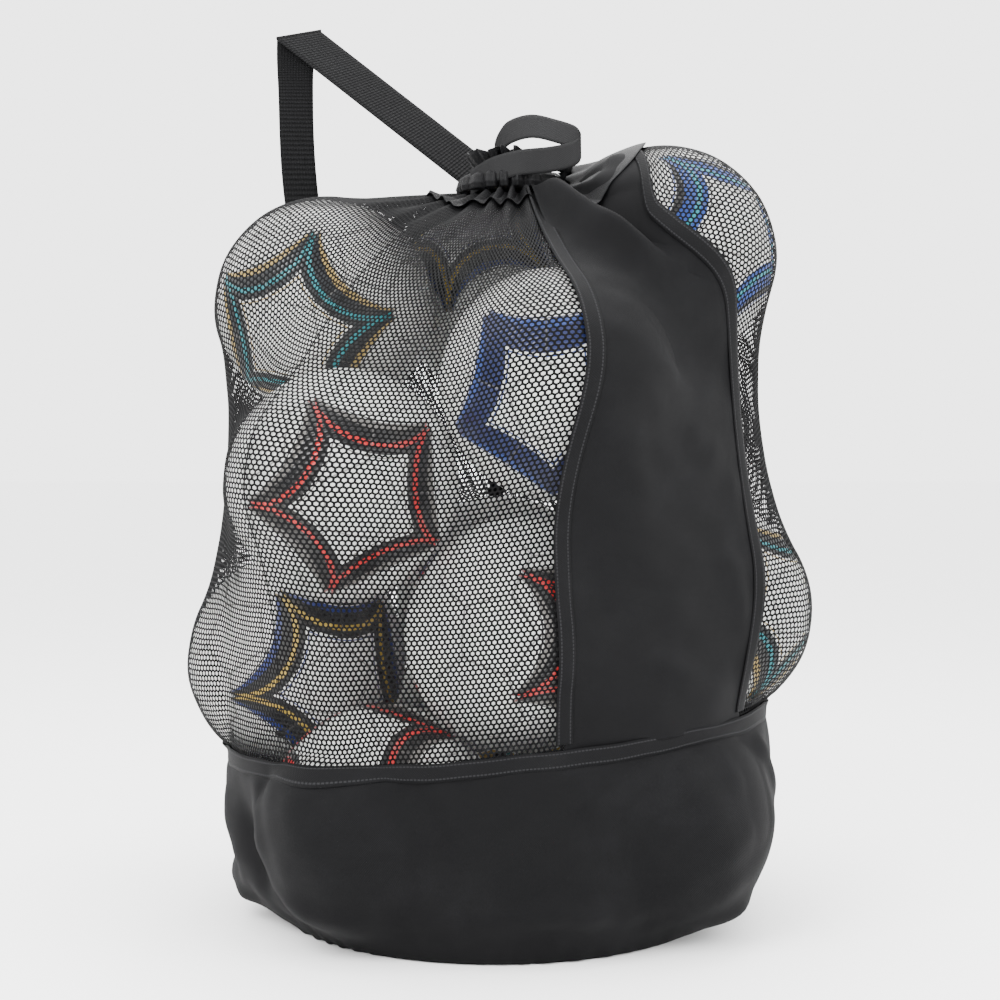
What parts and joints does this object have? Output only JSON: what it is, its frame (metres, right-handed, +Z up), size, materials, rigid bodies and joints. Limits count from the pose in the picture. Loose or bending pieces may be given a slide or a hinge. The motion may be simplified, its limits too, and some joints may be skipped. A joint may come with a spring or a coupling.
{
  "type": "mesh ball bag",
  "caption": "Drawstring net sack with a coated cloth cup, front panel and webbing shoulder strap, standing filled with footballs.",
  "frame": {"origin": "centre of the underside of the round base, on the floor", "axes": "+Z up, -Y towards the front with the cloth panel, +X to the right seen from the front"},
  "size_m": [0.6358, 0.5169, 0.9164],
  "materials": {
    "ball_cover": "satin, synthetic leather panels with printed curved stripes",
    "valve_rubber": "matte",
    "coated_cloth": "matte, black oxford weave with a coated back",
    "net": "matte, black knitted net with six-sided holes",
    "binding_tape": "matte, black woven binding",
    "lining_nylon": "slightly shiny thin nylon, gathered in pleats",
    "eyelet_metal": "nickel plated",
    "cord_braid": "braided cord",
    "lock_plastic": "satin moulded plastic",
    "spring_steel": "drawn wire",
    "handle_webbing": "smooth flat webbing",
    "strap_webbing": "ribbed webbing"
  },
  "bodies": {
    "bag": {"back_seam_tape": "binding_tape", "ball_floor_1": "ball_cover", "ball_floor_2": "ball_cover", "ball_floor_3": "ball_cover", "ball_floor_4": "ball_cover", "ball_lower_1": "ball_cover", "ball_lower_2": "ball_cover", "ball_lower_3": "ball_cover", "ball_lower_4": "ball_cover", "ball_middle_1": "ball_cover", "ball_middle_2": "ball_cover", "ball_middle_3": "ball_cover", "ball_upper_1": "ball_cover", "ball_upper_2": "ball_cover", "ball_upper_3": "ball_cover", "ball_upper_4": "ball_cover", "ball_valves": "valve_rubber", "base_disc": "coated_cloth", "base_piping": "binding_tape", "collar_frill": "lining_nylon", "collar_yoke": "lining_nylon", "cord_casing": "lining_nylon", "cord_end_bell": "lock_plastic", "cup_rim_tape": "binding_tape", "cup_wall": "coated_cloth", "draw_cord": "cord_braid", "eyelet": "eyelet_metal", "front_panel": "coated_cloth", "mesh_left": "net", "mesh_right": "net", "panel_tape_left": "binding_tape", "panel_tape_right": "binding_tape", "strap_tab_bottom": "strap_webbing", "strap_tab_top": "strap_webbing"},
    "handle": {"carry_handle": "handle_webbing"},
    "cord_lock": {"cord_lock_barrel": "lock_plastic", "cord_lock_spring": "spring_steel"},
    "lock_button": {"cord_lock_plunger": "lock_plastic"},
    "strap": {"shoulder_strap": "strap_webbing"}
  },
  "joints": [
    {"name": "strap_swing", "type": "hinge", "parent": "bag", "child": "strap", "pos_m": [0.0104, 0.0488, 0.7502], "axis": [-0.2573, 0.2703, -0.9278], "range_deg": [0, 55]},
    {"name": "handle_swing", "type": "hinge", "parent": "bag", "child": "handle", "pos_m": [-0.015, -0.04489, 0.73496], "axis": [-0.4178, -0.3946, -0.8184], "range_deg": [0, 60]},
    {"name": "lock_slide", "type": "slide", "parent": "bag", "child": "cord_lock", "axis": [0, 0, 1], "range_m": [0, 0.02]},
    {"name": "button_press", "type": "slide", "parent": "cord_lock", "child": "lock_button", "axis": [-0.5, -0.866, 0], "range_m": [0, 0.0035], "stiffness_N_per_m": 400, "springref_m": -0.002, "deforming": ["cord_lock_spring"]}
  ]
}
